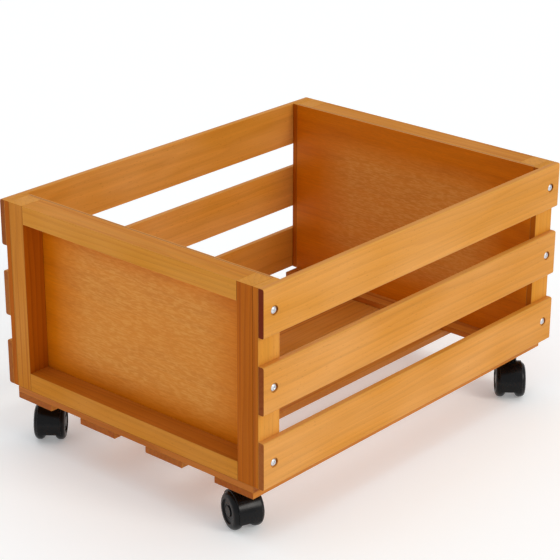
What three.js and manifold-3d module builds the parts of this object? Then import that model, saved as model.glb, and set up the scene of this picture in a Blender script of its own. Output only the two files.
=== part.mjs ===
// Slatted record crate on four swivelling twin-wheel casters.
// Millimetres, +Z up. The origin is the middle of the footprint, on the floor.
// X runs across the panelled ends, Y along the slatted sides. The front end faces -Y.

import * as THREE from 'three';
import { mergeVertices } from 'three/addons/utils/BufferGeometryUtils.js';
import Module from 'manifold-3d';

const wasm = await Module();
wasm.setup();

// Crate
const crateLength = 450; // over both end frames
const frameWidth = 316; // over the two stiles of an end frame
const stileWidth = 19;
const railHeight = 19;
const barDepth = 24.5; // stiles and rails, along Y
const panelThickness = 4;
const edgeStripThickness = 6.5;

const sideSlatRows = ['bottom', 'middle', 'top'];
const sideSlatThickness = 6.5;
const sideSlatHeight = 47;
const sideSlatGap = 27;
const sideSlatRounding = 2; // on the two long outer edges

const floorSlatCount = 4;
const floorSlatThickness = 6.5;
const floorSlatWidth = 48;
const battenThickness = 6.5;
const battenWidth = 47; // along Y

// Side slat screws
const screwInset = 14.25; // from the end of the slat
const shankDiameter = 4;
const shankLength = 25;
const shankPointLength = 3.5;
const headDiameter = 8;
const headHeight = 1.3;
const headRimHeight = 0.6; // straight part of the head, under the dome
const headTopDiameter = 5; // flat of the dome
const crossLength = 4.4;
const crossWidth = 0.9;
const crossDepth = 0.8;
const counterboreDiameter = 9.2;
const counterboreDepth = 2; // leaves the head just under the face

// Casters
const casterHeadroom = 10.2; // from the top of the wheels to the underside of the floor slats
const wheelDiameter = 36.8;
const wheelWidth = 10.5;
const wheelSpacing = 20.6; // between the middles of the two wheels
const treadRounding = 4.8;
const rimWidth = 1.6; // flat ring on the outer face, inside the tread's rounding
const dishDepth = 1.4; // step down from that ring to the wheel's face
const hubCapDiameter = 11;
const hubCapHeight = 1.1; // above the dished face
const trail = 9; // from the stem axis back to the axle
const axleDiameter = 4;
const axleSocketDepth = 7; // blind bore in a wheel
const hoodWidth = 23.5;
const hoodWall = 1.2;
const hoodChamfer = 0.8; // round the cover's outer edges
const hoodRearAngle = -20; // degrees from level, on the trailing side
const hoodFrontAngle = 143; // degrees from level, where the hood meets the stem boss
const axleBossDiameter = 11;
const stemBossDiameter = 14;
const stemBossHeight = 15.5;
const stemDiameter = 6;
const stemSocketDepth = 17; // in the hood
const collarDiameter = 12;
const collarHeight = 3;
const stemCover = 0.5; // wood left above the stem

const innerStemMargin = 8; // from the innermost stem to the inner edge of its floor slat

// Where each stem stands, in from the side and the end of the crate's frame, and the direction
// from the stem to the axle in degrees from +X. The front right stem sits further in.
const innerStemInset = floorSlatWidth - innerStemMargin;
const casters = [
  { name: 'front_left', side: -1, end: -1, sideInset: 13.5, endInset: 30.5, heading: -50 },
  { name: 'front_right', side: 1, end: -1, sideInset: innerStemInset, endInset: 24, heading: -23 },
  { name: 'back_left', side: -1, end: 1, sideInset: 14.5, endInset: 30.5, heading: -45 },
  { name: 'back_right', side: 1, end: 1, sideInset: 15, endInset: 30.5, heading: -49.5 },
];

// Fits and edges
const seatGap = 0.3; // under heads, beside wheels and round fixed pins
const bearingClearance = 0.08; // radial, where a part turns on a pin
const wheelClearance = 0.5; // radial, between a wheel and its hood
const edgeBreak = 0.5; // small chamfers on turned parts
const overcut = 1; // how far a cutting tool runs past a face
const casterFacets = 20; // in a full turn of a wheel, pin or boss
const hoodFacets = 32;
const screwFacets = 12;

// Levels and faces worked out from the sizes above
const casterHeight = wheelDiameter + casterHeadroom; // floor to the underside of the floor slats
const battenUnderside = casterHeight + floorSlatThickness;
const boxBottom = battenUnderside + battenThickness;
const rowPitch = sideSlatHeight + sideSlatGap;
const boxHeight = sideSlatRows.length * rowPitch - sideSlatGap;
const boxMiddle = boxBottom + boxHeight / 2;
const endFace = crateLength / 2;
const panelFace = endFace - barDepth;
const frameSide = frameWidth / 2;
const stripSide = frameSide + edgeStripThickness;
const slatSide = stripSide + sideSlatThickness;
const screwRow = endFace - screwInset;
const headSeat = slatSide - counterboreDepth + seatGap; // underside of a side screw's head
const shankEnd = headSeat - shankLength;
const wheelRadius = wheelDiameter / 2;
const hoodTop = casterHeight - collarHeight - seatGap;
const stemTop = boxBottom - stemCover;

const sides = [['left', -1], ['right', 1]];
const ends = [['front', -1], ['back', 1]];
const rowMiddle = (row) => boxBottom + row * rowPitch + sideSlatHeight / 2;
const radians = THREE.MathUtils.degToRad;
const point = (x, y, z) => new THREE.Vector3(x, y, z);

const finishes = {
  slat: { color: 0xd9963f, roughness: 0.42, metalness: 0 },
  frame: { color: 0xb9700f, roughness: 0.42, metalness: 0 },
  plywood: { color: 0xb8690a, roughness: 0.45, metalness: 0 },
  zinc: { color: 0xc9ccd0, roughness: 0.3, metalness: 1 },
  steel: { color: 0x9a9da1, roughness: 0.35, metalness: 1 },
  nylon: { color: 0x17181a, roughness: 0.4, metalness: 0 },
};

function addPiece(parent, name, finish, geometry, place = point(0, 0, 0)) {
  const mesh = new THREE.Mesh(geometry, new THREE.MeshStandardMaterial(finishes[finish]));
  mesh.name = name;
  mesh.position.copy(place);
  parent.add(mesh);
}

// A closed geometry as a solid that can be cut and joined.
function toSolid(geometry) {
  const bare = geometry.clone();
  bare.deleteAttribute('normal');
  bare.deleteAttribute('uv');
  const merged = mergeVertices(bare);
  const corners = Array.from(merged.index.array);
  const triVerts = [];
  for (let i = 0; i < corners.length; i += 3) {
    const triangle = corners.slice(i, i + 3);
    const isSliver = new Set(triangle).size < 3; // where a turned shape meets its axis
    if (!isSliver) triVerts.push(...triangle);
  }
  return new wasm.Manifold(new wasm.Mesh({
    numProp: 3,
    vertProperties: merged.attributes.position.array,
    triVerts: new Uint32Array(triVerts),
  }));
}

function toGeometry(solid) {
  const { vertProperties, triVerts } = solid.getMesh();
  const geometry = new THREE.BufferGeometry();
  geometry.setAttribute('position', new THREE.BufferAttribute(vertProperties, 3));
  geometry.setIndex(new THREE.BufferAttribute(triVerts, 1));
  geometry.computeVertexNormals();
  return geometry;
}

function cut(geometry, tools) {
  return toGeometry(tools.reduce((rest, tool) => rest.subtract(toSolid(tool)), toSolid(geometry)));
}

function join(geometry, other) {
  return toGeometry(toSolid(geometry).add(toSolid(other)));
}

// Round bars along each axis, centred on a point.
function barAlongX(radius, length, middle, facets = screwFacets) {
  const bar = new THREE.CylinderGeometry(radius, radius, length, facets);
  return bar.rotateZ(Math.PI / 2).translate(middle.x, middle.y, middle.z);
}

function barAlongY(radius, length, middle, facets = casterFacets) {
  return new THREE.CylinderGeometry(radius, radius, length, facets).translate(middle.x, middle.y, middle.z);
}

function barAlongZ(radius, length, middle, facets = casterFacets) {
  const bar = new THREE.CylinderGeometry(radius, radius, length, facets);
  return bar.rotateX(Math.PI / 2).translate(middle.x, middle.y, middle.z);
}

// An outline in X and Z, pulled out along Y and centred on it.
function extrudeAlongY(outline, length, curveSegments, chamfer = 0) {
  const depth = length - 2 * chamfer;
  const settings = {
    depth,
    curveSegments,
    bevelEnabled: chamfer > 0,
    bevelSegments: 1,
    bevelThickness: chamfer,
    bevelSize: chamfer,
    bevelOffset: -chamfer,
  };
  return new THREE.ExtrudeGeometry(outline, settings).translate(0, 0, -depth / 2).rotateX(Math.PI / 2);
}

// A profile of [radius, height] points, turned about Y.
function turn(profile, facets) {
  const corners = profile.map(([radius, height]) => new THREE.Vector2(radius, height));
  return new THREE.LatheGeometry(corners, facets);
}

function addBoard(parent, name, finish, size, middle, holes = []) {
  const board = new THREE.BoxGeometry(size.x, size.y, size.z);
  addPiece(parent, name, finish, holes.length > 0 ? cut(board, holes) : board, middle);
}

// Holes for the three screws of one corner, seen from the middle of the board they are cut in.
function screwHoles(side, end, radius, from, to, middle) {
  return sideSlatRows.map((name, row) => {
    const centre = point(side * (from + to) / 2, end * screwRow, rowMiddle(row));
    return barAlongX(radius, to - from, centre.sub(middle));
  });
}

// Each end is a frame of two stiles and two rails, with a panel behind it and a strip down each side.
function addEndFrame(endName, end) {
  const pilotRadius = shankDiameter / 2 + seatGap;
  const barMiddle = end * (endFace - barDepth / 2);
  const stripDepth = barDepth + panelThickness;
  for (const [sideName, side] of sides) {
    const stileMiddle = point(side * (frameSide - stileWidth / 2), barMiddle, boxMiddle);
    const pilots = screwHoles(side, end, pilotRadius, shankEnd - seatGap, frameSide + overcut, stileMiddle);
    addBoard(stand, `${endName}_stile_${sideName}`, 'frame',
      point(stileWidth, barDepth, boxHeight), stileMiddle, pilots);

    const stripOffset = frameSide + edgeStripThickness / 2;
    const stripMiddle = point(side * stripOffset, end * (endFace - stripDepth / 2), boxMiddle);
    const holes = screwHoles(side, end, pilotRadius, frameSide - overcut, stripSide + overcut, stripMiddle);
    addBoard(stand, `${endName}_edge_strip_${sideName}`, 'frame',
      point(edgeStripThickness, stripDepth, boxHeight), stripMiddle, holes);
  }
  const railSize = point(frameWidth - 2 * stileWidth, barDepth, railHeight);
  const railOffset = (boxHeight - railHeight) / 2;
  for (const [railName, level] of [['bottom', boxMiddle - railOffset], ['top', boxMiddle + railOffset]]) {
    addBoard(stand, `${endName}_rail_${railName}`, 'frame', railSize, point(0, barMiddle, level));
  }
  addBoard(stand, `${endName}_panel`, 'plywood', point(frameWidth, panelThickness, boxHeight),
    point(0, end * (panelFace - panelThickness / 2), boxMiddle));
}

// A side slat as it lies on the right, with its outer long edges rounded and a screw at each end.
function sideSlat() {
  const halfHeight = sideSlatHeight / 2;
  const outer = sideSlatThickness / 2;
  const rounding = Math.min(sideSlatRounding, sideSlatThickness, halfHeight);
  const outline = new THREE.Shape();
  outline.moveTo(-outer, -halfHeight);
  outline.lineTo(outer - rounding, -halfHeight);
  outline.absarc(outer - rounding, -halfHeight + rounding, rounding, -Math.PI / 2, 0);
  outline.absarc(outer - rounding, halfHeight - rounding, rounding, 0, Math.PI / 2);
  outline.lineTo(-outer, halfHeight);
  const shankHoleRadius = shankDiameter / 2 + seatGap;
  const holes = ends.flatMap(([name, end]) => [
    barAlongX(shankHoleRadius, sideSlatThickness + 2 * overcut, point(0, end * screwRow, 0)),
    barAlongX(counterboreDiameter / 2, 2 * counterboreDepth, point(outer, end * screwRow, 0)),
  ]);
  return cut(extrudeAlongY(outline, crateLength, 3), holes);
}

// A pan head wood screw along X, with its head outwards and its underside at the origin.
function sideScrew() {
  const shank = shankDiameter / 2;
  const head = headDiameter / 2;
  const blank = turn([
    [0, -shankLength],
    [shank, shankPointLength - shankLength],
    [shank, 0],
    [head, 0],
    [head, headRimHeight],
    [headTopDiameter / 2, headHeight],
    [0, headHeight],
  ], screwFacets);
  const arms = [[crossLength, crossWidth], [crossWidth, crossLength]].map(([across, along]) => (
    new THREE.BoxGeometry(across, 2 * crossDepth, along).translate(0, headHeight, 0)));
  return cut(blank, arms).rotateZ(-Math.PI / 2);
}

function addSide(sideName, side) {
  const slats = new THREE.Group();
  slats.rotation.z = side > 0 ? 0 : Math.PI;
  stand.add(slats);
  sideSlatRows.forEach((rowName, row) => {
    const slatMiddle = point(slatSide - sideSlatThickness / 2, 0, rowMiddle(row));
    addPiece(slats, `${sideName}_slat_${rowName}`, 'slat', sideSlat(), slatMiddle);
    for (const [endName, end] of ends) {
      const seat = point(headSeat, side * end * screwRow, rowMiddle(row));
      addPiece(slats, `${sideName}_screw_${endName}_${rowName}`, 'zinc', sideScrew(), seat);
    }
  });
}

// Stem sockets through a board of the floor, seen from the board's middle.
function stemHoles(middle, size) {
  const spots = casters.map(stemSpot).filter(({ x, y }) => (
    Math.abs(x - middle.x) < size.x / 2 && Math.abs(y - middle.y) < size.y / 2));
  return spots.map(({ x, y }) => (
    barAlongZ(stemDiameter / 2 + seatGap, size.z + 2 * overcut, point(x - middle.x, y - middle.y, 0))));
}

function addFloor() {
  const slatSize = point(floorSlatWidth, crateLength, floorSlatThickness);
  const slatPitch = (frameWidth - floorSlatWidth) / (floorSlatCount - 1);
  for (let i = 0; i < floorSlatCount; i += 1) {
    const across = (floorSlatWidth - frameWidth) / 2 + i * slatPitch;
    const middle = point(across, 0, casterHeight + floorSlatThickness / 2);
    addBoard(stand, `floor_slat_${i + 1}`, 'slat', slatSize, middle, stemHoles(middle, slatSize));
  }
  const battenSize = point(frameWidth, battenWidth, battenThickness);
  for (const [endName, end] of ends) {
    const middle = point(0, end * (endFace - battenWidth / 2), battenUnderside + battenThickness / 2);
    addBoard(stand, `${endName}_batten`, 'slat', battenSize, middle, stemHoles(middle, battenSize));
  }
}

function stemSpot({ side, end, sideInset, endInset }) {
  return point(side * (frameSide - sideInset), end * (endFace - endInset), 0);
}

// The pin that the hood swivels on: a collar under the floor slat and a plain shank above it.
function stem() {
  const radius = stemDiameter / 2;
  const foot = hoodTop - stemSocketDepth + seatGap;
  const profile = [
    [0, foot],
    [radius - edgeBreak, foot],
    [radius, foot + edgeBreak],
    [radius, casterHeight - collarHeight],
    [collarDiameter / 2, casterHeight - collarHeight],
    [collarDiameter / 2, casterHeight],
    [radius, casterHeight],
    [radius, stemTop - edgeBreak],
    [radius - edgeBreak, stemTop],
    [0, stemTop],
  ];
  return turn(profile, casterFacets).rotateX(Math.PI / 2);
}

// The hood trails behind the stem. X points from the stem to the axle, Y lies along the axle.
// A cover goes over the wheels, and a web between them carries the axle.
function hood() {
  const outside = wheelRadius + wheelClearance + hoodWall;
  const webWidth = wheelSpacing - wheelWidth - 2 * seatGap;
  const axleBoss = axleBossDiameter / 2;
  const rear = radians(hoodRearAngle);
  const front = radians(hoodFrontAngle);
  const bossFront = -trail - stemBossDiameter / 2;
  const bossFoot = hoodTop - stemBossHeight - wheelRadius;

  const outline = new THREE.Shape();
  outline.absarc(0, 0, outside, rear, front);
  outline.lineTo(bossFront, bossFoot);
  outline.absarc(0, 0, axleBoss, Math.PI, 2 * Math.PI + 2 * rear);
  const block = extrudeAlongY(outline, hoodWidth, hoodFacets / 2, hoodChamfer);
  block.translate(trail, 0, wheelRadius);
  const boss = barAlongZ(stemBossDiameter / 2, stemBossHeight, point(0, 0, hoodTop - stemBossHeight / 2));

  const pocketWidth = (hoodWidth - webWidth) / 2 + overcut;
  const pockets = [-1, 1].map((hand) => barAlongY(wheelRadius + wheelClearance, pocketWidth,
    point(trail, hand * (webWidth + pocketWidth) / 2, wheelRadius), hoodFacets));
  const axleBore = barAlongY(axleDiameter / 2 + bearingClearance, hoodWidth, point(trail, 0, wheelRadius));
  const stemBore = barAlongZ(stemDiameter / 2 + bearingClearance, stemSocketDepth + overcut,
    point(0, 0, hoodTop - (stemSocketDepth - overcut) / 2));
  return cut(join(block, boss), [...pockets, axleBore, stemBore]);
}

// A wheel with its outer face towards +Y and its inner face at the origin.
function wheel() {
  const shoulder = wheelRadius - treadRounding;
  const bore = axleDiameter / 2 + bearingClearance;
  const dish = wheelWidth - dishDepth;
  const dishRadius = shoulder - rimWidth;
  const cap = hubCapDiameter / 2;
  const arc = (middle, from, steps = 3) => Array.from({ length: steps + 1 }, (unused, i) => {
    const angle = from + (i / steps) * Math.PI / 2;
    return [shoulder + treadRounding * Math.cos(angle), middle + treadRounding * Math.sin(angle)];
  });
  return turn([
    [0, axleSocketDepth],
    [bore, axleSocketDepth],
    [bore, 0],
    ...arc(treadRounding, -Math.PI / 2),
    ...arc(wheelWidth - treadRounding, 0),
    [dishRadius, wheelWidth],
    [dishRadius - edgeBreak, dish],
    [cap, dish],
    [cap - edgeBreak, dish + hubCapHeight],
    [0, dish + hubCapHeight],
  ], casterFacets);
}

function addCaster(spot) {
  const caster = new THREE.Group();
  caster.position.copy(stemSpot(spot));
  stand.add(caster);
  addPiece(caster, `${spot.name}_stem`, 'steel', stem());

  const swivel = new THREE.Group();
  swivel.rotation.z = radians(spot.heading);
  caster.add(swivel);
  addPiece(swivel, `${spot.name}_hood`, 'nylon', hood());
  const innerFace = (wheelSpacing - wheelWidth) / 2;
  const axleLength = 2 * (innerFace + axleSocketDepth - seatGap);
  const axle = barAlongY(axleDiameter / 2, axleLength, point(trail, 0, wheelRadius));
  addPiece(swivel, `${spot.name}_axle`, 'steel', axle);
  for (const [handName, hand] of sides) {
    const wheelGroup = new THREE.Group();
    wheelGroup.position.set(trail, hand * innerFace, wheelRadius);
    wheelGroup.rotation.z = hand > 0 ? 0 : Math.PI;
    swivel.add(wheelGroup);
    addPiece(wheelGroup, `${spot.name}_wheel_${handName}`, 'nylon', wheel());
  }
}

const stand = new THREE.Group();
ends.forEach(([name, end]) => addEndFrame(name, end));
sides.forEach(([name, side]) => addSide(name, side));
addFloor();
casters.forEach(addCaster);

export default stand;
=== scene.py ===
import math
import random

import bmesh
import bpy
from mathutils import Matrix, Vector


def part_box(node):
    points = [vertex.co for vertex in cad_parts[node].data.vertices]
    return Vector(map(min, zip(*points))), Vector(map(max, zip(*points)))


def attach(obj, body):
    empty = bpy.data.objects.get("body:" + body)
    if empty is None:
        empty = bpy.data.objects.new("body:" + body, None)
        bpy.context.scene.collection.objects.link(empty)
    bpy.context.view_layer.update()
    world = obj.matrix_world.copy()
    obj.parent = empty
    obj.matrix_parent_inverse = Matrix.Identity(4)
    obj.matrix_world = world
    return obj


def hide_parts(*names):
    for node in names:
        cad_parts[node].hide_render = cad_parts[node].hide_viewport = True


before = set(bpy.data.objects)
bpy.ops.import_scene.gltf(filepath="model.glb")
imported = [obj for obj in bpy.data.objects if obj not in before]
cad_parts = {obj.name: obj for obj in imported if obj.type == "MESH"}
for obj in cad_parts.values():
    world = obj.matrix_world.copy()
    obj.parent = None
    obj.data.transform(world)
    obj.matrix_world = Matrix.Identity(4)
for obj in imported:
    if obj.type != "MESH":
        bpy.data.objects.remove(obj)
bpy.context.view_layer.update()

mm = 0.001  # sizes below are in millimetres, the frame's are in metres
crateBody = "crate"


def toLinear(hexColour):
    channels = [int(hexColour[i:i + 2], 16) / 255 for i in (1, 3, 5)]
    return [c / 12.92 if c <= 0.04045 else ((c + 0.055) / 1.055) ** 2.4 for c in channels] + [1]


# camera: off the crate's front right corner, looking down on it, as the photograph does

camera = {
    "place": (1.18264, -1.34826, 0.88737),  # metres, fitted to corner points of the crate
    "azimuth": 41.48,
    "elevation": 22.40,
    "roll": 0.15,
    "lens": 123.44,
    "sensorWidth": 36,
}


def addCamera():
    data = bpy.data.cameras.new("photoCamera")
    data.lens = camera["lens"]
    data.sensor_width = camera["sensorWidth"]
    eye = bpy.data.objects.new("photoCamera", data)
    swing = Matrix.Rotation(math.radians(camera["azimuth"]), 3, "Z")
    tilt = Matrix.Rotation(math.radians(90 - camera["elevation"]), 3, "X")
    roll = Matrix.Rotation(math.radians(camera["roll"]), 3, "Z")
    eye.rotation_euler = (swing @ tilt @ roll).to_euler()
    eye.location = camera["place"]
    bpy.context.scene.collection.objects.link(eye)
    bpy.context.scene.camera = eye


addCamera()


# material nodes

def addNode(tree, kind, inputs=(), stops=(), output=0, **settings):
    # inputs go by name or in the sockets' order, and each is a socket to join or a plain value
    node = tree.nodes.new(kind)
    for name, value in settings.items():
        setattr(node, name, value)
    for socket, value in inputs.items() if isinstance(inputs, dict) else enumerate(inputs):
        if isinstance(value, bpy.types.NodeSocket):
            tree.links.new(value, node.inputs[socket])
        else:
            node.inputs[socket].default_value = value
    for i, (place, colour) in enumerate(stops):
        element = node.color_ramp.elements[i] if i < 2 else node.color_ramp.elements.new(place)
        element.position = place
        element.color = toLinear(colour)
    return node.outputs[output]


def newMaterial(name, uniform):
    material = bpy.data.materials.new(name)
    material.use_nodes = True
    shader = material.node_tree.nodes["Principled BSDF"]
    for socket, value in uniform.items():
        shader.inputs[socket].default_value = value
    return material, material.node_tree, shader


# The wood materials draw their grain in a space that every board carries on its mesh: x runs
# along the grain and y and z run across it from where the middle of the tree would be, in mm.

noiseSpan = (0.3, 0.7)  # nearly all of a noise lies between these


def grainNoise(tree, space, along, across, detail=2.0):
    fitted = addNode(tree, "ShaderNodeMapping", {
        "Vector": space, "Scale": (1 / along, 1 / across, 1 / across)})
    return addNode(tree, "ShaderNodeTexNoise", {"Vector": fitted, "Scale": 1.0, "Detail": detail})


# Pine under honey lacquer. The stain evens out the grain, so what shows is a faint lengthwise
# figure, some fine fibre and a few flecks under a satin coat. Thirsty end grain goes red-brown.
# The arrises show as a fine line: a painted highlight with some wear, lighter on the faces painted lit, and a
# painted shade in the seams, darker on the faces painted shaded.

# pale and deep are a lit and a shaded copy of the same pine, which each face mixes by its painted shade
pineLook = {
    "pale": ("#da932d", "#d8912b", "#d28a27"), "deep": ("#b35903", "#af5502", "#a54d01"),
    "fleck": "#8d4d14", "redStreak": "#9c480c", "endGrain": "#681a01",
    "paleArris": "#e0a650", "deepArris": "#7d4106", "arrisMost": 0.5,
    "ringWidth": 5.5, "ringWander": 26.0, "wanderLength": 330, "wanderWidth": 30,
    "ringMiddle": 0.55, "ringLate": 0.88,
    "cloud": 60, "cloudStretch": 2.5, "haze": "#dba468", "hazeFrom": (0.38, 0.68), "hazeMost": 0.3,
    "fibreWidth": 1.0, "fibreLength": 70, "fibreFrom": (0.25, 0.75), "fibreTone": (0.955, 1.045),
    "streakWidth": 6, "streakLength": 500, "streakTone": (0.94, 1.06), "cloudTone": (0.95, 1.05),
    "redFrom": (0.56, 0.7), "redMost": 0.6, "redShades": (0.1, 0.5),
    "fleckLength": 4.0, "fleckWidth": 0.9, "fleckFrom": (0.66, 0.8), "fleckMost": 0.4,
    "roughness": (0.42, 0.54), "endFrom": (0.2, 0.8), "endDull": 0.35,
    "ringRelief": 0.4, "grainDepth": 0.05, "gloss": 0.06, "coat": 0,
}
slatLook = dict(pineLook, pale=("#da9334", "#d89131", "#d28b2d"), hazeMost=0.42, gloss=0.15, coat=0.03)


def makePine(name, look):
    material, tree, shader = newMaterial(name, {
        "IOR": 1.45, "Specular IOR Level": look["gloss"],
        "Coat Weight": look["coat"], "Coat Roughness": 0.25, "Coat IOR": 1.5})
    space = addNode(tree, "ShaderNodeAttribute", attribute_name="woodSpace", output="Vector")
    endGrain, arris, shade = [
        addNode(tree, "ShaderNodeAttribute", attribute_name=part, output="Fac")
        for part in ("endGrain", "arris", "paintedShade")]

    # growth rings about the middle of the tree, swayed by a slow noise
    across = addNode(tree, "ShaderNodeMapping", {"Vector": space, "Scale": (0, 1, 1)})
    radius = addNode(tree, "ShaderNodeVectorMath", (across,), operation="LENGTH", output="Value")
    wander = grainNoise(tree, space, look["wanderLength"], look["wanderWidth"])
    sway = addNode(tree, "ShaderNodeMath", (wander, look["ringWander"]), operation="MULTIPLY")
    bent = addNode(tree, "ShaderNodeMath", (radius, sway), operation="ADD")
    turns = addNode(tree, "ShaderNodeMath", (bent, look["ringWidth"]), operation="DIVIDE")
    ring = addNode(tree, "ShaderNodeMath", (turns,), operation="FRACT")
    # painted shade: each face mixes the lit (pale) and the shaded (deep) ring colours by its painted shade
    pale, deep = [
        addNode(tree, "ShaderNodeValToRGB", (ring,), [
            (0, early), (look["ringMiddle"], middle), (look["ringLate"], late), (1, early)])
        for early, middle, late in (look["pale"], look["deep"])]
    figure = addNode(tree, "ShaderNodeMix", {"Factor": shade, "A": pale, "B": deep},
                     output="Result", data_type="RGBA")

    # broad pale patches from a slow noise, laid only as far as a face is painted lit, that is one minus its
    # painted shade
    cloud = grainNoise(tree, space, look["cloud"] * look["cloudStretch"], look["cloud"])
    patch = addNode(tree, "ShaderNodeMapRange", (cloud, *look["hazeFrom"], 0, look["hazeMost"]))
    paintedLight = addNode(tree, "ShaderNodeMath", (1.0, shade), operation="SUBTRACT")
    haze = addNode(tree, "ShaderNodeMath", (patch, paintedLight), operation="MULTIPLY")
    hazed = addNode(tree, "ShaderNodeMix", {"Factor": haze, "A": figure, "B": toLinear(look["haze"])},
                    output="Result", data_type="RGBA")

    fibre = grainNoise(tree, space, look["fibreLength"], look["fibreWidth"], 3.0)
    streak = grainNoise(tree, space, look["streakLength"], look["streakWidth"])
    tone = addNode(tree, "ShaderNodeMapRange", (fibre, *look["fibreFrom"], *look["fibreTone"]))
    for source, part in ((streak, "streakTone"), (cloud, "cloudTone")):
        change = addNode(tree, "ShaderNodeMapRange", (source, *noiseSpan, *look[part]))
        tone = addNode(tree, "ShaderNodeMath", (tone, change), operation="MULTIPLY")
    colour = addNode(tree, "ShaderNodeVectorMath", {0: hazed, "Scale": tone}, operation="SCALE")

    # red streaks in the grain, laid only on faces whose painted shade is deep enough
    redness = addNode(tree, "ShaderNodeMapRange", (streak, *look["redFrom"], 0, look["redMost"]))
    redShade = addNode(tree, "ShaderNodeMapRange", (shade, *look["redShades"], 0, 1))
    red = addNode(tree, "ShaderNodeMath", (redness, redShade), operation="MULTIPLY")
    speck = grainNoise(tree, space, look["fleckLength"], look["fleckWidth"], 1.0)
    fleck = addNode(tree, "ShaderNodeMapRange", (speck, *look["fleckFrom"], 0, look["fleckMost"]))
    # painted light on the arrises: paleArris is a painted highlight with some wear, deepArris a painted shade
    # in the seams between boards
    arrisWearShadeAmount = addNode(tree, "ShaderNodeMath", (arris, look["arrisMost"]), operation="MULTIPLY")
    arrisWearHighlightShade = addNode(tree, "ShaderNodeMix", {
        "Factor": shade, "A": toLinear(look["paleArris"]), "B": toLinear(look["deepArris"])},
        output="Result", data_type="RGBA")
    for amount, over in ((red, toLinear(look["redStreak"])), (fleck, toLinear(look["fleck"])),
                         (endGrain, toLinear(look["endGrain"])), (arrisWearShadeAmount, arrisWearHighlightShade)):
        colour = addNode(tree, "ShaderNodeMix", {"Factor": amount, "A": colour, "B": over},
                         output="Result", data_type="RGBA")
    tree.links.new(colour, shader.inputs["Base Color"])

    # end grain drinks the lacquer, so it hardly shines
    satin = addNode(tree, "ShaderNodeMapRange", (fibre, *noiseSpan, *look["roughness"]))
    dull = addNode(tree, "ShaderNodeMapRange", (endGrain, *look["endFrom"], 0, look["endDull"]))
    roughness = addNode(tree, "ShaderNodeMath", (satin, dull), operation="ADD")
    tree.links.new(roughness, shader.inputs["Roughness"])
    ridges = addNode(tree, "ShaderNodeMath", (ring, look["ringRelief"]), operation="MULTIPLY")
    relief = addNode(tree, "ShaderNodeMath", (fibre, ridges), operation="ADD")
    bump = addNode(tree, "ShaderNodeBump", {
        "Height": relief, "Distance": look["grainDepth"] * mm, "Strength": 1.0})
    tree.links.new(bump, shader.inputs["Normal"])
    return material


# Rotary-cut plywood under the same lacquer: a broad mottled face with short level flecks, and
# on its edges the dark core between two pale face plies.

plyLook = {
    "pale": "#d57604", "mid": "#d17202", "dark": "#cb6d02", "figureMiddle": 0.6,
    "figureLength": 190, "figureWidth": 30, "figureLines": 4.0,
    "mottleLength": 7.0, "mottleWidth": 1.3, "mottleTone": (0.95, 1.05),
    "fibreLength": 60, "fibreWidth": 1.2, "fibreTone": (0.96, 1.04),
    "fleck": "#b2640a", "fleckLength": 6.0, "fleckWidth": 1.0, "fleckFrom": (0.62, 0.78), "fleckMost": 0.4,
    "sheen": "#e29f4c", "sheenLength": 150, "sheenWidth": 80, "sheenPatch": (0.75, 1.0),
    "sheenlessPart": 0.8, "sheenMaskPart": 0.5, "paintedSheenFrom": (0.42, 0.66), "paintedSheen": (0.45, 0.95),
    "core": "#a8661f", "facePly": "#cf9045", "plyThickness": 1.3,
    "roughness": (0.42, 0.56), "grainDepth": 0.05,
}


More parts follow.
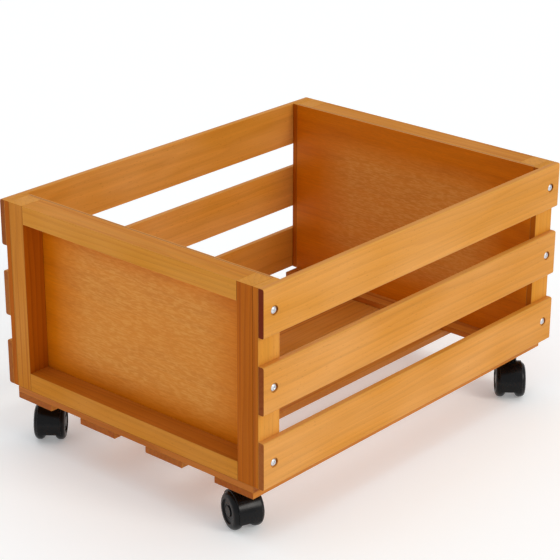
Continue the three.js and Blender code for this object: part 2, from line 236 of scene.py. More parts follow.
def makePlywood(name, look):
    material, tree, shader = newMaterial(name, {"IOR": 1.45, "Specular IOR Level": 0.15})
    space = addNode(tree, "ShaderNodeAttribute", attribute_name="woodSpace", output="Vector")
    edge = addNode(tree, "ShaderNodeAttribute", attribute_name="endGrain", output="Fac")

    figure = grainNoise(tree, space, look["figureLength"], look["figureWidth"], 1.0)
    waves = addNode(tree, "ShaderNodeMath", (figure, look["figureLines"]), operation="MULTIPLY")
    lines = addNode(tree, "ShaderNodeMath", (waves, 0.5), operation="PINGPONG")
    doubled = addNode(tree, "ShaderNodeMath", (lines, 2), operation="MULTIPLY")
    face = addNode(tree, "ShaderNodeValToRGB", (doubled,), [
        (0, look["pale"]), (look["figureMiddle"], look["mid"]), (1, look["dark"])])
    mottle = grainNoise(tree, space, look["mottleLength"], look["mottleWidth"], 3.0)
    fibre = grainNoise(tree, space, look["fibreLength"], look["fibreWidth"])
    mottleTone = addNode(tree, "ShaderNodeMapRange", (mottle, *noiseSpan, *look["mottleTone"]))
    fibreTone = addNode(tree, "ShaderNodeMapRange", (fibre, *noiseSpan, *look["fibreTone"]))
    tone = addNode(tree, "ShaderNodeMath", (mottleTone, fibreTone), operation="MULTIPLY")
    colour = addNode(tree, "ShaderNodeVectorMath", {0: face, "Scale": tone}, operation="SCALE")
    speck = grainNoise(tree, space, look["fleckLength"], look["fleckWidth"], 1.0)
    fleck = addNode(tree, "ShaderNodeMapRange", (speck, *look["fleckFrom"], 0, look["fleckMost"]))

    # painted sheen: a pale mottle that grows towards the middle of the sheet, standing in for the light the
    # lacquer catches there
    place = addNode(tree, "ShaderNodeAttribute", attribute_name="sheetPlace", output="Vector")
    patch = grainNoise(tree, space, look["sheenLength"], look["sheenWidth"])
    sheenMask = addNode(tree, "ShaderNodeMapRange", (patch, *noiseSpan, *look["sheenPatch"]))
    for part in ("X", "Z"):
        offset = addNode(tree, "ShaderNodeSeparateXYZ", (place,), output=part)
        distance = addNode(tree, "ShaderNodeMath", (offset,), operation="ABSOLUTE")
        fade = addNode(tree, "ShaderNodeMapRange", (distance, look["sheenlessPart"], look["sheenMaskPart"], 0, 1))
        sheenMask = addNode(tree, "ShaderNodeMath", (sheenMask, fade), operation="MULTIPLY")
    sheenMottle = addNode(tree, "ShaderNodeMapRange", (mottle, *look["paintedSheenFrom"], *look["paintedSheen"]))
    paintedSheen = addNode(tree, "ShaderNodeMath", (sheenMask, sheenMottle), operation="MULTIPLY")

    # y is the depth into the sheet from its middle
    depth = addNode(tree, "ShaderNodeSeparateXYZ", (space,), output="Y")
    fromMiddle = addNode(tree, "ShaderNodeMath", (depth,), operation="ABSOLUTE")
    core = addNode(tree, "ShaderNodeMath", (fromMiddle, look["plyThickness"] / 2), operation="LESS_THAN")
    plies = addNode(tree, "ShaderNodeMix", {
        "Factor": core, "A": toLinear(look["facePly"]), "B": toLinear(look["core"])},
        output="Result", data_type="RGBA")
    for amount, over in ((fleck, toLinear(look["fleck"])), (paintedSheen, toLinear(look["sheen"])), (edge, plies)):
        colour = addNode(tree, "ShaderNodeMix", {"Factor": amount, "A": colour, "B": over},
                         output="Result", data_type="RGBA")
    tree.links.new(colour, shader.inputs["Base Color"])

    roughness = addNode(tree, "ShaderNodeMapRange", (mottle, *noiseSpan, *look["roughness"]))
    tree.links.new(roughness, shader.inputs["Roughness"])
    relief = addNode(tree, "ShaderNodeMath", (mottle, fibre), operation="ADD")
    bump = addNode(tree, "ShaderNodeBump", {
        "Height": relief, "Distance": look["grainDepth"] * mm, "Strength": 1.0})
    tree.links.new(bump, shader.inputs["Normal"])
    return material


# bright zinc plate: even silver with a faint cloudy bloom
zincLook = {"dark": "#d4d6d9", "pale": "#e6e7ea", "roughness": (0.34, 0.46), "bloom": 2.5}
# turned steel pins: plain grey, with turning lines too fine to see
steelLook = {"dark": "#8f9296", "pale": "#a5a8ac", "roughness": (0.25, 0.35), "bloom": 4.0}


def makeMetal(name, look):
    material, tree, shader = newMaterial(name, {"Metallic": 1.0})
    place = addNode(tree, "ShaderNodeTexCoord", output="Object")
    bloom = addNode(tree, "ShaderNodeTexNoise", {
        "Vector": place, "Scale": 1 / (look["bloom"] * mm), "Detail": 3.0})
    tint = addNode(tree, "ShaderNodeValToRGB", (bloom,), list(zip(noiseSpan, (look["dark"], look["pale"]))))
    tree.links.new(tint, shader.inputs["Base Color"])
    roughness = addNode(tree, "ShaderNodeMapRange", (bloom, *noiseSpan, *look["roughness"]))
    tree.links.new(roughness, shader.inputs["Roughness"])
    return material


# moulded black nylon: near black, with a low sheen from the mould's fine spark-eroded grain,
# which is drawn coarser than the real 0.1 mm so that it shows
hoodLook = {"grain": 0.5, "grainDepth": 0.02, "bloom": 9, "dark": "#050506", "pale": "#0b0b0d",
            "roughness": (0.22, 0.3)}
wheelLook = dict(hoodLook, dark="#040405", pale="#08080a", roughness=(0.24, 0.34))


def makeNylon(name, look):
    material, tree, shader = newMaterial(name, {"IOR": 1.53, "Specular IOR Level": 0.2})
    place = addNode(tree, "ShaderNodeTexCoord", output="Object")
    grain = addNode(tree, "ShaderNodeTexNoise", {
        "Vector": place, "Scale": 1 / (look["grain"] * mm), "Detail": 2.0})
    bloom = addNode(tree, "ShaderNodeTexNoise", {
        "Vector": place, "Scale": 1 / (look["bloom"] * mm), "Detail": 3.0})
    tint = addNode(tree, "ShaderNodeValToRGB", (bloom,), list(zip(noiseSpan, (look["dark"], look["pale"]))))
    tree.links.new(tint, shader.inputs["Base Color"])
    roughness = addNode(tree, "ShaderNodeMapRange", (bloom, *noiseSpan, *look["roughness"]))
    tree.links.new(roughness, shader.inputs["Roughness"])
    bump = addNode(tree, "ShaderNodeBump", {
        "Height": grain, "Distance": look["grainDepth"] * mm, "Strength": 1.0})
    tree.links.new(bump, shader.inputs["Normal"])
    return material


materials = {
    "slat_pine": makePine("lacqueredPineSlats", slatLook),
    "frame_pine": makePine("lacqueredPineFrame", pineLook),
    "plywood": makePlywood("lacqueredPlywood", plyLook),
    "zinc_screw": makeMetal("zincPlate", zincLook),
    "steel_pin": makeMetal("turnedSteel", steelLook),
    "nylon_hood": makeNylon("mouldedNylonHood", hoodLook),
    "nylon_wheel": makeNylon("mouldedNylonWheel", wheelLook),
}
print("materials:", len(materials))


# mesh tools

def turned(profile, facets):
    # spins (radius, height) points round +Z into a closed body
    shape = bmesh.new()
    rings = []
    for radius, height in profile:
        count = 1 if radius < 1e-4 else facets  # a point on the axis is one vertex
        angles = [2 * math.pi * i / facets for i in range(count)]
        rings.append([shape.verts.new((radius * math.cos(a) * mm, radius * math.sin(a) * mm, height * mm))
                      for a in angles])
    for lower, upper in zip(rings, rings[1:]):
        for i in range(facets):
            j = (i + 1) % facets
            quad = [lower[i % len(lower)], lower[j % len(lower)],
                    upper[j % len(upper)], upper[i % len(upper)]]
            shape.faces.new(list(dict.fromkeys(quad)))
    bmesh.ops.recalc_face_normals(shape, faces=shape.faces)
    return shape


def easedPath(corners, steps=4):
    # corners are (x, y) or (x, y, rounding); a rounded corner becomes an arc
    path = [Vector(corners[0][:2])]
    for before, corner, after in zip(corners, corners[1:], corners[2:]):
        at = Vector(corner[:2])
        if len(corner) < 3:
            path.append(at)
            continue
        back = (Vector(before[:2]) - at).normalized()
        ahead = (Vector(after[:2]) - at).normalized()
        half = back.angle(ahead) / 2
        middle = at + (back + ahead).normalized() * corner[2] / math.sin(half)
        reach = corner[2] / math.tan(half)
        first, last = at + back * reach - middle, at + ahead * reach - middle
        sweep = first.angle(last)
        for step in range(steps + 1):
            share = step / steps
            path.append(middle + (first * math.sin((1 - share) * sweep) + last * math.sin(share * sweep))
                        / math.sin(sweep))
    return path + [Vector(corners[-1][:2])]


def toObject(name, shape, place=Matrix.Identity(4)):
    mesh = bpy.data.meshes.new(name)
    shape.transform(place)
    shape.to_mesh(mesh)
    shape.free()
    piece = bpy.data.objects.new(name, mesh)
    bpy.context.scene.collection.objects.link(piece)
    return piece


def freeze(piece):
    # keeps what the modifiers make as the piece's own mesh
    bpy.context.view_layer.update()
    seen = piece.evaluated_get(bpy.context.evaluated_depsgraph_get())
    finished = bpy.data.meshes.new_from_object(seen)
    rough = piece.data
    piece.modifiers.clear()
    piece.data = finished
    bpy.data.meshes.remove(rough)


def combine(piece, others, operation):
    for other in others:
        modifier = piece.modifiers.new("fit", "BOOLEAN")
        modifier.operation = operation
        modifier.solver = "EXACT"
        modifier.object = other
    if others:
        freeze(piece)


def discard(pieces):
    for piece in pieces:
        mesh = piece.data
        bpy.data.objects.remove(piece)
        bpy.data.meshes.remove(mesh)


def smooth(piece, sharpFrom=38):
    mesh = piece.data
    mesh.polygons.foreach_set("use_smooth", [True] * len(mesh.polygons))
    mesh.set_sharp_from_angle(angle=math.radians(sharpFrom))
    modifier = piece.modifiers.new("evenFaces", "WEIGHTED_NORMAL")
    modifier.keep_sharp = True
    freeze(piece)


def finishPiece(piece, body, slot, nodes=()):
    piece.data.materials.clear()
    piece.data.materials.append(materials[slot])
    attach(piece, body)
    if nodes:
        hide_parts(*nodes)


def stamp(pattern, name, place, body, slot, nodes=()):
    # a copy of a finished pattern piece, set in place
    piece = bpy.data.objects.new(name, pattern.data.copy())
    piece.data.transform(place)
    bpy.context.scene.collection.objects.link(piece)
    finishPiece(piece, body, slot, nodes)


def middleOf(node):
    low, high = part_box(node)
    return (low + high) / 2


ends = (("front", -1), ("back", 1))
sides = (("left", -1), ("right", 1))
rows = ("bottom", "middle", "top")
floorSlats = range(1, 5)
casterCorners = [f"{end}_{side}" for end, _ in ends for side, _ in sides]
chance = random.Random(41)

# screws and their holes

overshoot = 1  # how far a cutter runs past the face it cuts, so that no skin is left
bores = []

sideScrew = {
    "headRadius": 3.4, "headHeight": 1.3, "domeRadius": 2.1, "domeEasing": 1.2,
    "rim": 0.55, "rimEasing": 0.18,
    "shankRadius": 2.0, "rootRadius": 1.45, "length": 25, "point": 3.5, "plain": 7, "pitch": 1.8,
    "crossLength": 4.0, "crossWidth": 1.1, "crossDepth": 1.0,
    "hole": 2.3, "holeRoom": 0.5, "counterbore": 4.6, "counterboreDepth": 2.0, "rimFlare": 0.35,
}

floorScrew = {
    "headRadius": 3.4, "headHeight": 1.9, "headEdge": 0.25, "headClearance": 0.15, "sunk": 0.15,
    "shankRadius": 1.7, "rootRadius": 1.25, "length": 12, "point": 2.2, "plain": 2.6, "pitch": 1.4,
    "crossLength": 3.4, "crossWidth": 0.75, "crossDepth": 0.8,
    "hole": 1.9, "holeRoom": 0.3, "offCentre": 14, "outerInset": 12, "innerInset": 37,
}

thread = {"facets": 16, "ringsPerTurn": 4, "neck": 0.92, "tip": 0.04}  # neck and tip are shares
# foot and mouth are shares of the cross's size, above is in mm, and widthKept doesn't taper
driverCross = {"foot": 0.45, "mouth": 1.15, "above": 0.4, "widthKept": 0.7}
stemBore = {"radius": 3.3, "mouth": 3.6, "flare": 0.3}
screwFacets = 40


def threadedShank(size):
    # a plain neck, then a helical thread that fades out along the point, head end at the origin
    shape = bmesh.new()
    facets = thread["facets"]
    run = size["length"] - size["plain"]
    rises = max(2, round(run / size["pitch"] * thread["ringsPerTurn"]))
    rings = []
    for level in [0, size["plain"]] + [size["plain"] + run * i / rises for i in range(1, rises + 1)]:
        ring = []
        taper = min(1, max(thread["tip"], (size["length"] - level) / size["point"]))
        core = size["rootRadius"] if level > size["plain"] else size["shankRadius"] * thread["neck"]
        for i in range(facets):
            turn = i / facets
            phase = ((level - size["plain"]) / size["pitch"] - turn) % 1
            crest = max(0, 1 - abs(phase - 0.5) * 4) if level > size["plain"] else 0
            radius = (core + (size["shankRadius"] - core) * crest) * taper
            ring.append(shape.verts.new((radius * math.cos(turn * 2 * math.pi) * mm,
                                         radius * math.sin(turn * 2 * math.pi) * mm, -level * mm)))
        rings.append(ring)
    for upper, lower in zip(rings, rings[1:]):
        for i in range(facets):
            j = (i + 1) % facets
            shape.faces.new((upper[i], lower[i], lower[j], upper[j]))
    shape.faces.new(rings[0])
    shape.faces.new(rings[-1])
    bmesh.ops.recalc_face_normals(shape, faces=shape.faces)
    return shape


def crossCutters(size, top):
    # two crossed wedges that narrow with depth, as a driver bit does
    kept = driverCross["widthKept"]
    cutters = []
    for turn in (0, math.pi / 2):
        shape = bmesh.new()
        for level, share in ((-size["crossDepth"], driverCross["foot"]),
                             (driverCross["above"], driverCross["mouth"])):
            length = size["crossLength"] / 2 * share
            width = size["crossWidth"] / 2 * (kept + (1 - kept) * share)
            for x, y in ((-length, -width), (length, -width), (length, width), (-length, width)):
                shape.verts.new((x * mm, y * mm, (top + level) * mm))
        shape.verts.ensure_lookup_table()
        quads = [(0, 3, 2, 1), (4, 5, 6, 7)] + [(i, (i + 1) % 4, (i + 1) % 4 + 4, i + 4) for i in range(4)]
        for quad in quads:
            shape.faces.new([shape.verts[i] for i in quad])
        cutters.append(toObject("driverCross", shape, Matrix.Rotation(turn, 4, "Z")))
    return cutters


def buildScrew(name, size, headProfile, top):
    head = toObject(name, turned(headProfile, screwFacets))
    sunk = 0.01 * mm  # the shank starts just inside the head, so that the two join
    shank = toObject("screwShank", threadedShank(size), Matrix.Translation((0, 0, sunk)))
    cross = crossCutters(size, top)
    combine(head, [shank], "UNION")
    combine(head, cross, "DIFFERENCE")
    discard([shank] + cross)
    smooth(head)
    return head


def towards(axis, place, turn):
    # +Z of the pattern goes along the axis, after a turn about itself
    facing = axis.to_track_quat("Z", "Y").to_matrix().to_4x4()
    return Matrix.Translation(place) @ facing @ Matrix.Rotation(turn, 4, "Z")


def addBore(profile, place):
    cutter = toObject("bore", turned(profile, screwFacets), place)
    spots = [vertex.co for vertex in cutter.data.vertices]
    low = Vector([min(spot[i] for spot in spots) for i in range(3)])
    high = Vector([max(spot[i] for spot in spots) for i in range(3)])
    bores.append((cutter, low, high))


def addSideScrews():
    size = sideScrew
    top = size["headHeight"]
    head = easedPath([
        (0, 0), (size["headRadius"], 0), (size["headRadius"], size["rim"], size["rimEasing"]),
        (size["domeRadius"], top, size["domeEasing"]), (0, top)])
    pattern = buildScrew("sideScrewPattern", size, head, top)
    tip = -size["length"] - size["holeRoom"]
    wide = size["counterbore"] + size["rimFlare"]
    for sideName, side in sides:
        outward = Vector((side, 0, 0))
        outer = 1 if side > 0 else 0  # which corner of a box is its outer one
        for endName, _ in ends:
            for row in rows:
                node = f"{sideName}_screw_{endName}_{row}"
                place = middleOf(node)
                place.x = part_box(node)[outer].x - side * top * mm
                spot = towards(outward, place, chance.uniform(0, math.pi / 2))
                stamp(pattern, node + "_zinc", spot, crateBody, "zinc_screw", (node,))
                face = abs(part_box(f"{sideName}_slat_{row}")[outer].x) / mm - abs(place.x) / mm
                bottom = face - size["counterboreDepth"]
                addBore([(0, tip), (size["hole"], tip), (size["hole"], bottom), (size["counterbore"], bottom),
                         (size["counterbore"], face - size["rimFlare"]), (wide, face),
                         (wide, face + overshoot), (0, face + overshoot)], spot)
    discard([pattern])


def addFloorScrews():
    # countersunk from below, two through each end of a floor slat
    size = floorScrew
    foot, tip = -size["headHeight"], -size["length"] - size["holeRoom"]
    head = [(0, foot), (size["shankRadius"], foot), (size["headRadius"], -size["headEdge"]),
            (size["headRadius"], 0), (0, 0)]
    pattern = buildScrew("floorScrewPattern", size, head, 0)
    wide = size["headRadius"] + size["headClearance"]
    hole = [(0, tip), (size["hole"], tip), (size["hole"], foot - size["headClearance"]),
            (wide, -size["headEdge"]), (wide, overshoot), (0, overshoot)]
    count = 0
    for i in floorSlats:
        low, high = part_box(f"floor_slat_{i}")
        middle = middleOf(f"floor_slat_{i}")
        away = 1 if middle.x > 0 else -1
        for _, end in ends:
            for inset, hand in ((size["outerInset"], away), (size["innerInset"], -away)):
                count += 1
                place = Vector((middle.x + hand * size["offCentre"] * mm, end * (high.y - inset * mm),
                                low.z + size["sunk"] * mm))
                spot = towards(Vector((0, 0, -1)), place, chance.uniform(0, math.pi / 2))
                stamp(pattern, f"floor_screw_{count}_zinc", spot, crateBody, "zinc_screw")
                addBore(hole, spot)
    discard([pattern])


def addStemBores():
    size = stemBore
    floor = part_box("floor_slat_1")[0].z
    for corner in casterCorners:
        place = middleOf(f"{corner}_stem")
        end = (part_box(f"{corner}_stem")[1].z - floor) / mm + overshoot
        addBore([(0, -overshoot), (size["mouth"], -overshoot), (size["mouth"], 0),
                 (size["radius"], size["flare"]), (size["radius"], end), (0, end)],
                Matrix.Translation((place.x, place.y, floor)))


addSideScrews()
addFloorScrews()
addStemBores()
print("screws and bores:", len(bores))

# boards

boardCut = {
    "edge": 0.5, "endEdge": 0.45, "panelEdge": 0.25, "slatRounding": 2.0, "leastRounding": 0.05,
    "arcSteps": 4,
    "jointEdge": 0.85,  # the glued joints between the uprights show as fine grooves
}
# near and far say how far a board was from its tree's middle, and sheet and along how widely
# the boards are strewn through the grain, so that no two look alike
pith = {"near": 25, "far": 85, "sheet": 400, "along": 4000}

# painted shade on the faces that look along X, Y and Z, set by how the light falls on each: 0 is lit and
# pale, 1 is shaded and deep
paintedShades = {
    "stile_left": (1.0, 0.55, 0.12), "stile_right": (1.0, 0.95, 0.12), "edge_strip": (0.15, 0.9, 0.12),
    "rail_bottom": (0.5, 0.4, 0.75), "rail_top": (0.5, 0.15, 0.3), "panel": (1, 1, 1),
    "side_slat": (0.1, 0.7, 0.25), "floor_slat": (0.5, 0.85, 0.5), "batten": (0.6, 0.8, 0.6),
}
shadeDrift = 0.06  # one board from the next

# how far a board's end grain has darkened
endDepths = {
    "upright": 0.05, "rail": 0.3, "panel": 1.0, "floor_slat": 0.3, "batten": 0.4,
    "right_top": 0.95, "right_middle": 0.7, "right_bottom": 0.5,
    "left_top": 0.6, "left_middle": 0.35, "left_bottom": 0.4,
}


def boardShape(low, high, grain, roundings, endEdge):
    # roundings name those of the long edges on the low and the high side of v
    u, v = (grain + 1) % 3, (grain + 2) % 3
    middle, half = (low + high) / 2, (high - low) / 2
    steps = boardCut["arcSteps"]
    bends = [math.pi / 2 * i / steps for i in range(steps + 1)]
    rims = [(endEdge * (1 - math.cos(bend)), endEdge * (1 - math.sin(bend))) for bend in bends]
    stations = [(inset - half[grain], shrink) for inset, shrink in rims]
    stations += [(-along, shrink) for along, shrink in reversed(stations)]
    shape = bmesh.new()
    rings = []
    for along, shrink in stations:
        ring = []
        for quarter, (signU, signV) in enumerate(((1, 1), (-1, 1), (-1, -1), (1, -1))):
            radius = max(boardCut[roundings[signV > 0]] * mm - shrink, boardCut["leastRounding"] * mm)
            for bend in bends:
                angle = quarter * math.pi / 2 + bend
                spot = middle.copy()
                spot[grain] += along
                spot[u] += signU * (half[u] - shrink - radius) + radius * math.cos(angle)
                spot[v] += signV * (half[v] - shrink - radius) + radius * math.sin(angle)
                ring.append(shape.verts.new(spot))
        rings.append(ring)
    for near, far in zip(rings, rings[1:]):
        for i, corner in enumerate(near):
            j = (i + 1) % len(near)
            shape.faces.new((corner, near[j], far[j], far[i]))
    shape.faces.new(rings[0])
    shape.faces.new(rings[-1])
    bmesh.ops.recalc_face_normals(shape, faces=shape.faces)
    return shape


def fromPith():
    # to one side of the tree's middle or the other
    return chance.choice((-1, 1)) * chance.uniform(pith["near"], pith["far"])


def paintWood(piece, grain, isPanel, shades, endDepth):
    u, v = (grain + 1) % 3, (grain + 2) % 3
    low, high = piece.bound_box[0], piece.bound_box[6]
    middle = [(a + b) / 2 for a, b in zip(low, high)]
    along = chance.uniform(-pith["along"], pith["along"])
    acrossU = 0 if isPanel else fromPith()
    acrossV = chance.uniform(-pith["sheet"], pith["sheet"]) if isPanel else fromPith()
    mesh = piece.data
    space = mesh.attributes.new("woodSpace", "FLOAT_VECTOR", "POINT")
    for vertex, spot in zip(mesh.vertices, space.data):
        place = [(vertex.co[i] - middle[i]) / mm for i in range(3)]
        spot.vector = (place[grain] + along, place[u] + acrossU, place[v] + acrossV)
    finishes = ("endGrain", "arris", "paintedShade")
    for name in finishes:
        mesh.attributes.new(name, "FLOAT", "FACE")
    for polygon, end, arris, tone in zip(mesh.polygons, *[mesh.attributes[name].data for name in finishes]):
        normal = [abs(part) for part in polygon.normal]
        end.value = endDepth * (max(normal[grain], normal[v]) if isPanel else normal[grain]) ** 4
        arris.value = 0 if max(normal) > 0.98 else 1  # a face square to the board isn't an arris
        # painted shade: each face takes the shade listed for the axis it looks along
        weights = [part ** 4 for part in normal]
        tone.value = sum(weight * part for weight, part in zip(weights, shades)) / sum(weights)
    if isPanel:
        paintSheet(mesh, middle, [high[i] - low[i] for i in range(3)])


def paintSheet(mesh, middle, size):
    # -1 to 1 across and up the panel, so that the painted sheen can grow towards the middle
    across = mesh.attributes.new("sheetPlace", "FLOAT_VECTOR", "POINT")
    for vertex, spot in zip(mesh.vertices, across.data):
        spot.vector = [2 * (vertex.co[i] - middle[i]) / size[i] for i in range(3)]


def addBoard(node, grain, slot, shadeName, endName, roundings=("edge", "edge")):
    isPanel = slot == "plywood"
    low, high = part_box(node)
    endEdge = boardCut["panelEdge" if isPanel else "endEdge"] * mm
    piece = toObject(node + "_wood", boardShape(low, high, grain, roundings, endEdge))
    cutters = [cutter for cutter, first, last in bores
               if all(first[i] < high[i] and last[i] > low[i] for i in range(3))]
    combine(piece, cutters, "DIFFERENCE")
    # the painted shade of each face direction, with a random drift from one board to the next
    drift = chance.uniform(-shadeDrift, shadeDrift)
    shades = [min(1, max(0, shade + drift)) for shade in paintedShades[shadeName]]
    paintWood(piece, grain, isPanel, shades, endDepths[endName])
    smooth(piece)
    finishPiece(piece, crateBody, slot, (node,))


def addEndFrames():
    joints = ("jointEdge", "jointEdge")
    for endName, _ in ends:
        for sideName, _ in sides:
            stile = f"stile_{sideName}"
            addBoard(f"{endName}_{stile}", 2, "frame_pine", stile, "upright", joints)
            addBoard(f"{endName}_edge_strip_{sideName}", 2, "frame_pine", "edge_strip", "upright", joints)
        for level in ("bottom", "top"):
            addBoard(f"{endName}_rail_{level}", 0, "frame_pine", f"rail_{level}", "rail")
        addBoard(f"{endName}_panel", 0, "plywood", "panel", "panel", ("panelEdge", "panelEdge"))


def addSlats():
    for sideName, side in sides:
        # across a slat v is X, so its outer long edges are on the side that v has there
        roundings = ("edge", "slatRounding") if side > 0 else ("slatRounding", "edge")
        for row in rows:
            addBoard(f"{sideName}_slat_{row}", 1, "slat_pine", "side_slat", f"{sideName}_{row}", roundings)
    for i in floorSlats:
        addBoard(f"floor_slat_{i}", 1, "slat_pine", "floor_slat", "floor_slat")
    for endName, _ in ends:
        addBoard(f"{endName}_batten", 0, "slat_pine", "batten", "batten")


addEndFrames()
addSlats()
discard([cutter for cutter, _, _ in bores])
print("boards cut")

# casters: the hood's and the stem's heights are from the floor, and what lies along a wheel is
# measured from its inner face

casterSize = {
    "facets": 96, "pinFacets": 48, "stemFacets": 64, "sharpFrom": 32,
    "wheelRadius": 18.4, "wheelWidth": 10.5, "tread": 4.8, "innerFace": 5.05, "bore": 2.08, "boreDepth": 7,
    "grooveFrom": 5.6, "grooveTo": 12.2, "grooveDepth": 0.6,
    "rimWidth": 1.6, "rimSlope": 0.6, "dish": 9.1, "dishRise": 0.12,
    "hubRadius": 5.5, "hubTop": 10.2, "hubTaper": 0.2, "hubDrop": 0.1,
    "hubGap": 1.2, "hubGapFlare": 0.4, "hubGapDepth": 0.35,
    "axleRadius": 2.0, "axleEasing": 0.4, "axleRoom": 0.3,
    "hoodRadius": 20.1, "hoodWidth": 23.5, "hoodEasing": 0.8, "webWidth": 9.5,
    "rearAngle": -20, "frontAngle": 143, "trail": 9, "axleBoss": 5.5,
    "pocketRadius": 18.9, "pocketFillet": 0.4, "pocketFlare": 0.3, "pocketFlareDepth": 0.25,
    "bossRadius": 7, "bossHeight": 15.5, "hoodTop": 43.7,
    "stemHole": 3.08, "socketDepth": 17, "socketFlare": 0.4,
    "stemRadius": 3.0, "stemTop": 59.5, "stemRoom": 0.3,
    "collarRadius": 6.0, "collarHeight": 3, "collarTop": 47,
}
hoodSteps = {"outer": 64, "boss": 20}


def wheelPattern():
    size = casterSize
    radius, width, tread = size["wheelRadius"], size["wheelWidth"], size["tread"]
    inner, outer, deep = size["grooveFrom"], size["grooveTo"], size["grooveDepth"]
    rim = radius - tread - size["rimWidth"]
    dish, hub = size["dish"], size["hubRadius"]
    gap, gapFloor = hub + size["hubGap"], dish - size["hubGapDepth"]
    full = tread - 0.01  # the two tread arcs meet all but in a point
    profile = easedPath([
        (0, size["boreDepth"]), (size["bore"], size["boreDepth"]), (size["bore"], 0, 0.3),
        (inner, 0, 0.3), (inner + deep, deep, 0.2), (outer - deep, deep, 0.3), (outer, 0, 0.3),
        (radius, 0, full), (radius, width, full),
        (rim, width, 0.35), (rim - size["rimSlope"], dish, 0.4),
        (gap + size["hubGapFlare"], dish + size["dishRise"], 0.2),
        (gap, gapFloor, 0.15), (hub, gapFloor, 0.15),
        (hub - size["hubTaper"], size["hubTop"] - size["hubDrop"], 0.5), (0, size["hubTop"])], 8)
    return toObject("wheelPattern", turned(profile, size["facets"]))


def axlePattern():
    size = casterSize
    radius, half = size["axleRadius"], size["innerFace"] + size["boreDepth"] - size["axleRoom"]
    profile = easedPath([(0, -half), (radius, -half, size["axleEasing"]),
                         (radius, half, size["axleEasing"]), (0, half)])
    return toObject("axlePattern", turned(profile, size["pinFacets"]))


def stemPattern():
    size = casterSize
    radius, top = size["stemRadius"], size["stemTop"]
    foot = size["hoodTop"] - size["socketDepth"] + size["stemRoom"]
    collar, under = size["collarTop"], size["collarTop"] - size["collarHeight"]
    profile = easedPath([
        (0, foot), (radius, foot, 0.5), (radius, under, 0.15), (size["collarRadius"], under, 0.4),
        (size["collarRadius"], collar, 0.3), (radius, collar, 0.15), (radius, top, 0.5), (0, top)])
    return toObject("stemPattern", turned(profile, size["stemFacets"]))


def hoodShell():
    # an arc over the wheels, closed by a straight front edge and an arc round the axle
    size = casterSize
    rear, front = math.radians(size["rearAngle"]), math.radians(size["frontAngle"])
    over, under = [
        [(reach * math.cos(start + sweep * i / steps), reach * math.sin(start + sweep * i / steps))
         for i in range(steps + 1)]
        for reach, start, sweep, steps in (
            (size["hoodRadius"], rear, front - rear, hoodSteps["outer"]),
            (size["axleBoss"], math.pi, math.pi + 2 * rear, hoodSteps["boss"]))]
    corner = (-size["trail"] - size["bossRadius"],
              size["hoodTop"] - size["bossHeight"] - size["wheelRadius"])
    outline = over + [corner] + under
    shape = bmesh.new()
    half = size["hoodWidth"] / 2
    loops = [[shape.verts.new(((x + size["trail"]) * mm, y * mm, (z + size["wheelRadius"]) * mm))
              for x, z in outline] for y in (-half, half)]
    for i in range(len(outline)):
        j = (i + 1) % len(outline)
        shape.faces.new((loops[0][i], loops[0][j], loops[1][j], loops[1][i]))
    shape.faces.new(loops[0])
    shape.faces.new(loops[1])
    bmesh.ops.recalc_face_normals(shape, faces=shape.faces)
    rims = [edge for edge in shape.edges if abs(edge.verts[0].co.y - edge.verts[1].co.y) < 1e-6]
    bmesh.ops.bevel(shape, geom=rims, offset=size["hoodEasing"] * mm, segments=4, profile=0.5, affect="EDGES")
    return toObject("hoodPattern", shape)


def hoodPattern():
    # lies with the stem at the origin and the axle along Y at the trail, as the caster does at heading 0
    size = casterSize
    hood = hoodShell()
    top, foot = size["hoodTop"], size["hoodTop"] - size["bossHeight"]
    boss = toObject("boss", turned(easedPath([
        (0, foot), (size["bossRadius"], foot, 0.6),
        (size["bossRadius"], top, 0.8), (0, top)]), size["facets"]))

    axle = Matrix.Translation((size["trail"] * mm, 0, size["wheelRadius"] * mm))
    half, inner = size["hoodWidth"] / 2, size["webWidth"] / 2
    outer, wide = half + overshoot, size["pocketRadius"]
    pocket = [(0, inner), (wide - size["pocketFillet"], inner), (wide, inner + size["pocketFillet"]),
              (wide, half - size["pocketFlareDepth"]), (wide + size["pocketFlare"], outer), (0, outer)]
    cutters = [toObject("wheelPocket", turned(pocket, size["facets"]),
                        axle @ Matrix.Rotation(-hand * math.pi / 2, 4, "X")) for hand in (-1, 1)]
    bore = [(0, -outer), (size["bore"], -outer), (size["bore"], outer), (0, outer)]
    cutters.append(toObject("axleBore", turned(bore, size["pinFacets"]),
                            axle @ Matrix.Rotation(math.pi / 2, 4, "X")))
    floor, hole, flare = top - size["socketDepth"], size["stemHole"], size["socketFlare"]
    socket = [(0, floor), (hole, floor), (hole, top - flare), (hole + flare, top),
              (hole + flare, top + overshoot), (0, top + overshoot)]
    cutters.append(toObject("stemSocket", turned(socket, size["pinFacets"])))
    combine(hood, [boss], "UNION")
    combine(hood, cutters, "DIFFERENCE")
    discard([boss] + cutters)
    return hood


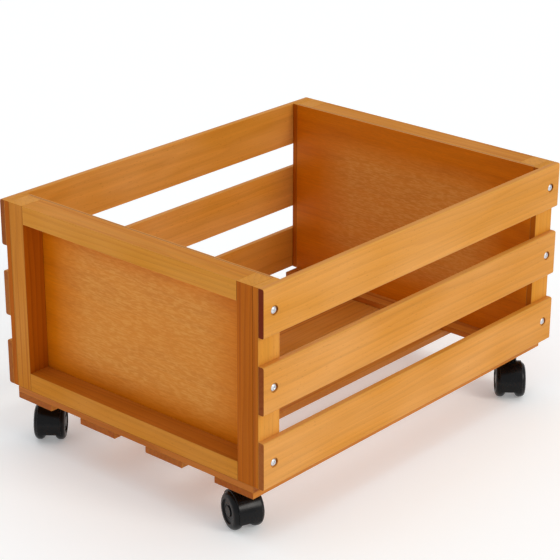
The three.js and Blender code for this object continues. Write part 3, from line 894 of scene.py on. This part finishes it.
def addCasters():
    size = casterSize
    patterns = {"hood": hoodPattern(), "wheel": wheelPattern(), "axle": axlePattern(), "stem": stemPattern()}
    for pattern in patterns.values():
        smooth(pattern, size["sharpFrom"])
    onSide = Matrix.Rotation(math.pi / 2, 4, "X")
    for corner in casterCorners:
        stem = middleOf(f"{corner}_stem")
        axle = middleOf(f"{corner}_axle")
        heading = math.atan2(axle.y - stem.y, axle.x - stem.x)
        upright = Matrix.Translation((stem.x, stem.y, 0))
        swivel = upright @ Matrix.Rotation(heading, 4, "Z")
        hub = swivel @ Matrix.Translation((size["trail"] * mm, 0, size["wheelRadius"] * mm))
        body = f"{corner}_swivel"
        stamp(patterns["stem"], f"{corner}_stem_steel", upright, crateBody, "steel_pin", (f"{corner}_stem",))
        stamp(patterns["hood"], f"{corner}_hood_nylon", swivel, body, "nylon_hood", (f"{corner}_hood",))
        stamp(patterns["axle"], f"{corner}_axle_steel", hub @ onSide, body, "steel_pin", (f"{corner}_axle",))
        for handName, hand in sides:
            wheel = f"{corner}_wheel_{handName}"
            outward = (Matrix.Translation((0, hand * size["innerFace"] * mm, 0))
                       @ Matrix.Rotation(-hand * math.pi / 2, 4, "X"))
            stamp(patterns["wheel"], f"{wheel}_nylon", hub @ outward, wheel, "nylon_wheel", (wheel,))
    discard(list(patterns.values()))


addCasters()
print("casters in place")

# studio: a pale floor, a soft key from the right, a broad light from above, and white all round

studio = {"floor": "#f1f5f6", "floorHalf": 20.0, "roughness": 0.85, "glow": 0.2,
          "sky": "#fbfcff", "skyStrength": 0.66}
lights = {
    "keyLight": {"azimuth": 8, "height": 32, "spread": 22, "strength": 0.96, "colour": "#fffaf2"},
    "topLight": {"azimuth": 120, "height": 80, "spread": 75, "strength": 0.35, "colour": "#ffffff"},
}


def addStudio():
    bpy.ops.mesh.primitive_plane_add(size=2 * studio["floorHalf"])
    floor = bpy.context.object
    floor.name = "paleFloor"
    floor.data.materials.append(newMaterial("paleFloor", {
        "Base Color": toLinear(studio["floor"]), "Roughness": studio["roughness"],
        "Emission Color": (1, 1, 1, 1), "Emission Strength": studio["glow"]})[0])
    world = bpy.data.worlds.new("whiteRoom")
    world.use_nodes = True
    sky = world.node_tree.nodes["Background"]
    sky.inputs["Color"].default_value = toLinear(studio["sky"])
    sky.inputs["Strength"].default_value = studio["skyStrength"]
    bpy.context.scene.world = world
    for name, light in lights.items():
        data = bpy.data.lights.new(name, "SUN")
        data.energy = light["strength"]
        data.angle = math.radians(light["spread"])
        data.color = toLinear(light["colour"])[:3]
        lamp = bpy.data.objects.new(name, data)
        # azimuth runs from +X towards +Y, and the light shines down its own -Z
        lamp.rotation_euler = (0, math.radians(90 - light["height"]), math.radians(light["azimuth"]))
        bpy.context.scene.collection.objects.link(lamp)


addStudio()
bpy.context.scene.view_settings.view_transform = "Standard"
